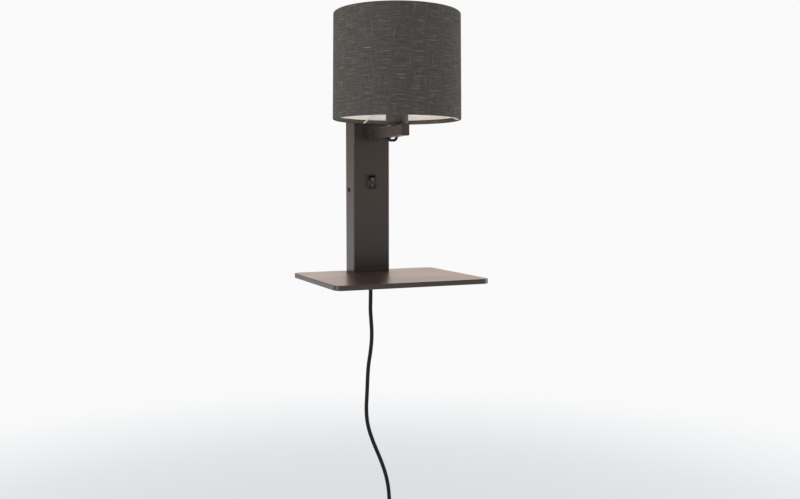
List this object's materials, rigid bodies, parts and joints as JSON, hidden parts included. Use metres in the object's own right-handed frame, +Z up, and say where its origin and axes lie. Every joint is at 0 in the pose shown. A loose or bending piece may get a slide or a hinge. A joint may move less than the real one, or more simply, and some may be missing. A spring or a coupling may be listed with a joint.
{
  "type": "wall lamp with shelf",
  "caption": "Wall lamp: steel column with rocker switch, short arm with fabric drum shade, thin tray shelf below, mains cord with flat plug hanging from the foot.",
  "frame": {"origin": "on the wall plane, in the middle between the two wall screws of the bracket", "axes": "+Z up, -Y out from the wall, +X to the right for someone who faces the lamp"},
  "size_m": [0.23, 0.219, 0.942],
  "materials": {
    "bronze_coat": "satin",
    "shelf_coat": "satin",
    "zinc_steel": "zinc plated",
    "dark_screw": "black oxide",
    "brass": "plain",
    "bulb_metal": "satin",
    "plug_metal": "nickel",
    "white_wire": "white coat",
    "shade_fabric": "woven linen",
    "white_lining": "matt film",
    "opal_glass": "opal",
    "white_plastic": "gloss",
    "ceramic": "glazed ceramic",
    "holder_plastic": "moulded",
    "black_plastic": "moulded",
    "black_rubber": "matt",
    "black_cord": "satin sheath",
    "blue_wire": "insulation",
    "brown_wire": "insulation"
  },
  "bodies": {
    "lamp": {"wall_bracket": "zinc_steel", "column_housing": "bronze_coat", "side_screws": "dark_screw", "arm_socket": "bronze_coat", "arm_set_screw": "dark_screw", "arm_tube": "bronze_coat", "arm_end_cap": "bronze_coat", "slot_grommet": "black_rubber", "arm_lead": "black_cord", "holder_nipple": "zinc_steel", "nipple_nut": "dark_screw", "lamp_holder": "holder_plastic", "holder_core": "ceramic", "holder_shell": "brass", "centre_contact": "brass", "shade_ring_lower": "holder_plastic", "shade_ring_upper": "holder_plastic", "shade_fitter": "white_wire", "shade_top_ring": "white_wire", "shade_lining": "white_lining", "shade_cover": "shade_fabric", "bulb_tip": "bulb_metal", "bulb_insulator": "black_plastic", "bulb_cap": "bulb_metal", "bulb_collar": "white_plastic", "bulb_globe": "opal_glass", "switch_frame": "black_plastic", "switch_terminals": "brass", "terminal_block": "white_plastic", "terminal_inserts": "brass", "terminal_screws": "zinc_steel", "neutral_wires": "blue_wire", "live_wires": "brown_wire", "cord_clamp": "black_plastic", "clamp_screws": "zinc_steel", "shelf": "shelf_coat", "shelf_screws": "dark_screw", "cord_bush": "black_rubber", "cord_tail": "black_cord", "mains_cord": "black_cord", "cord_hank": "black_cord", "cord_tie": "black_rubber", "plug_body": "black_plastic", "plug_pins": "plug_metal"},
    "rocker": {"switch_rocker": "black_plastic"}
  },
  "joints": [
    {"name": "rocker_tilt", "type": "hinge", "parent": "lamp", "child": "rocker", "pos_m": [0, -0.0315, 0.0165], "axis": [-1, 0, 0], "range_deg": [0, 22]}
  ]
}
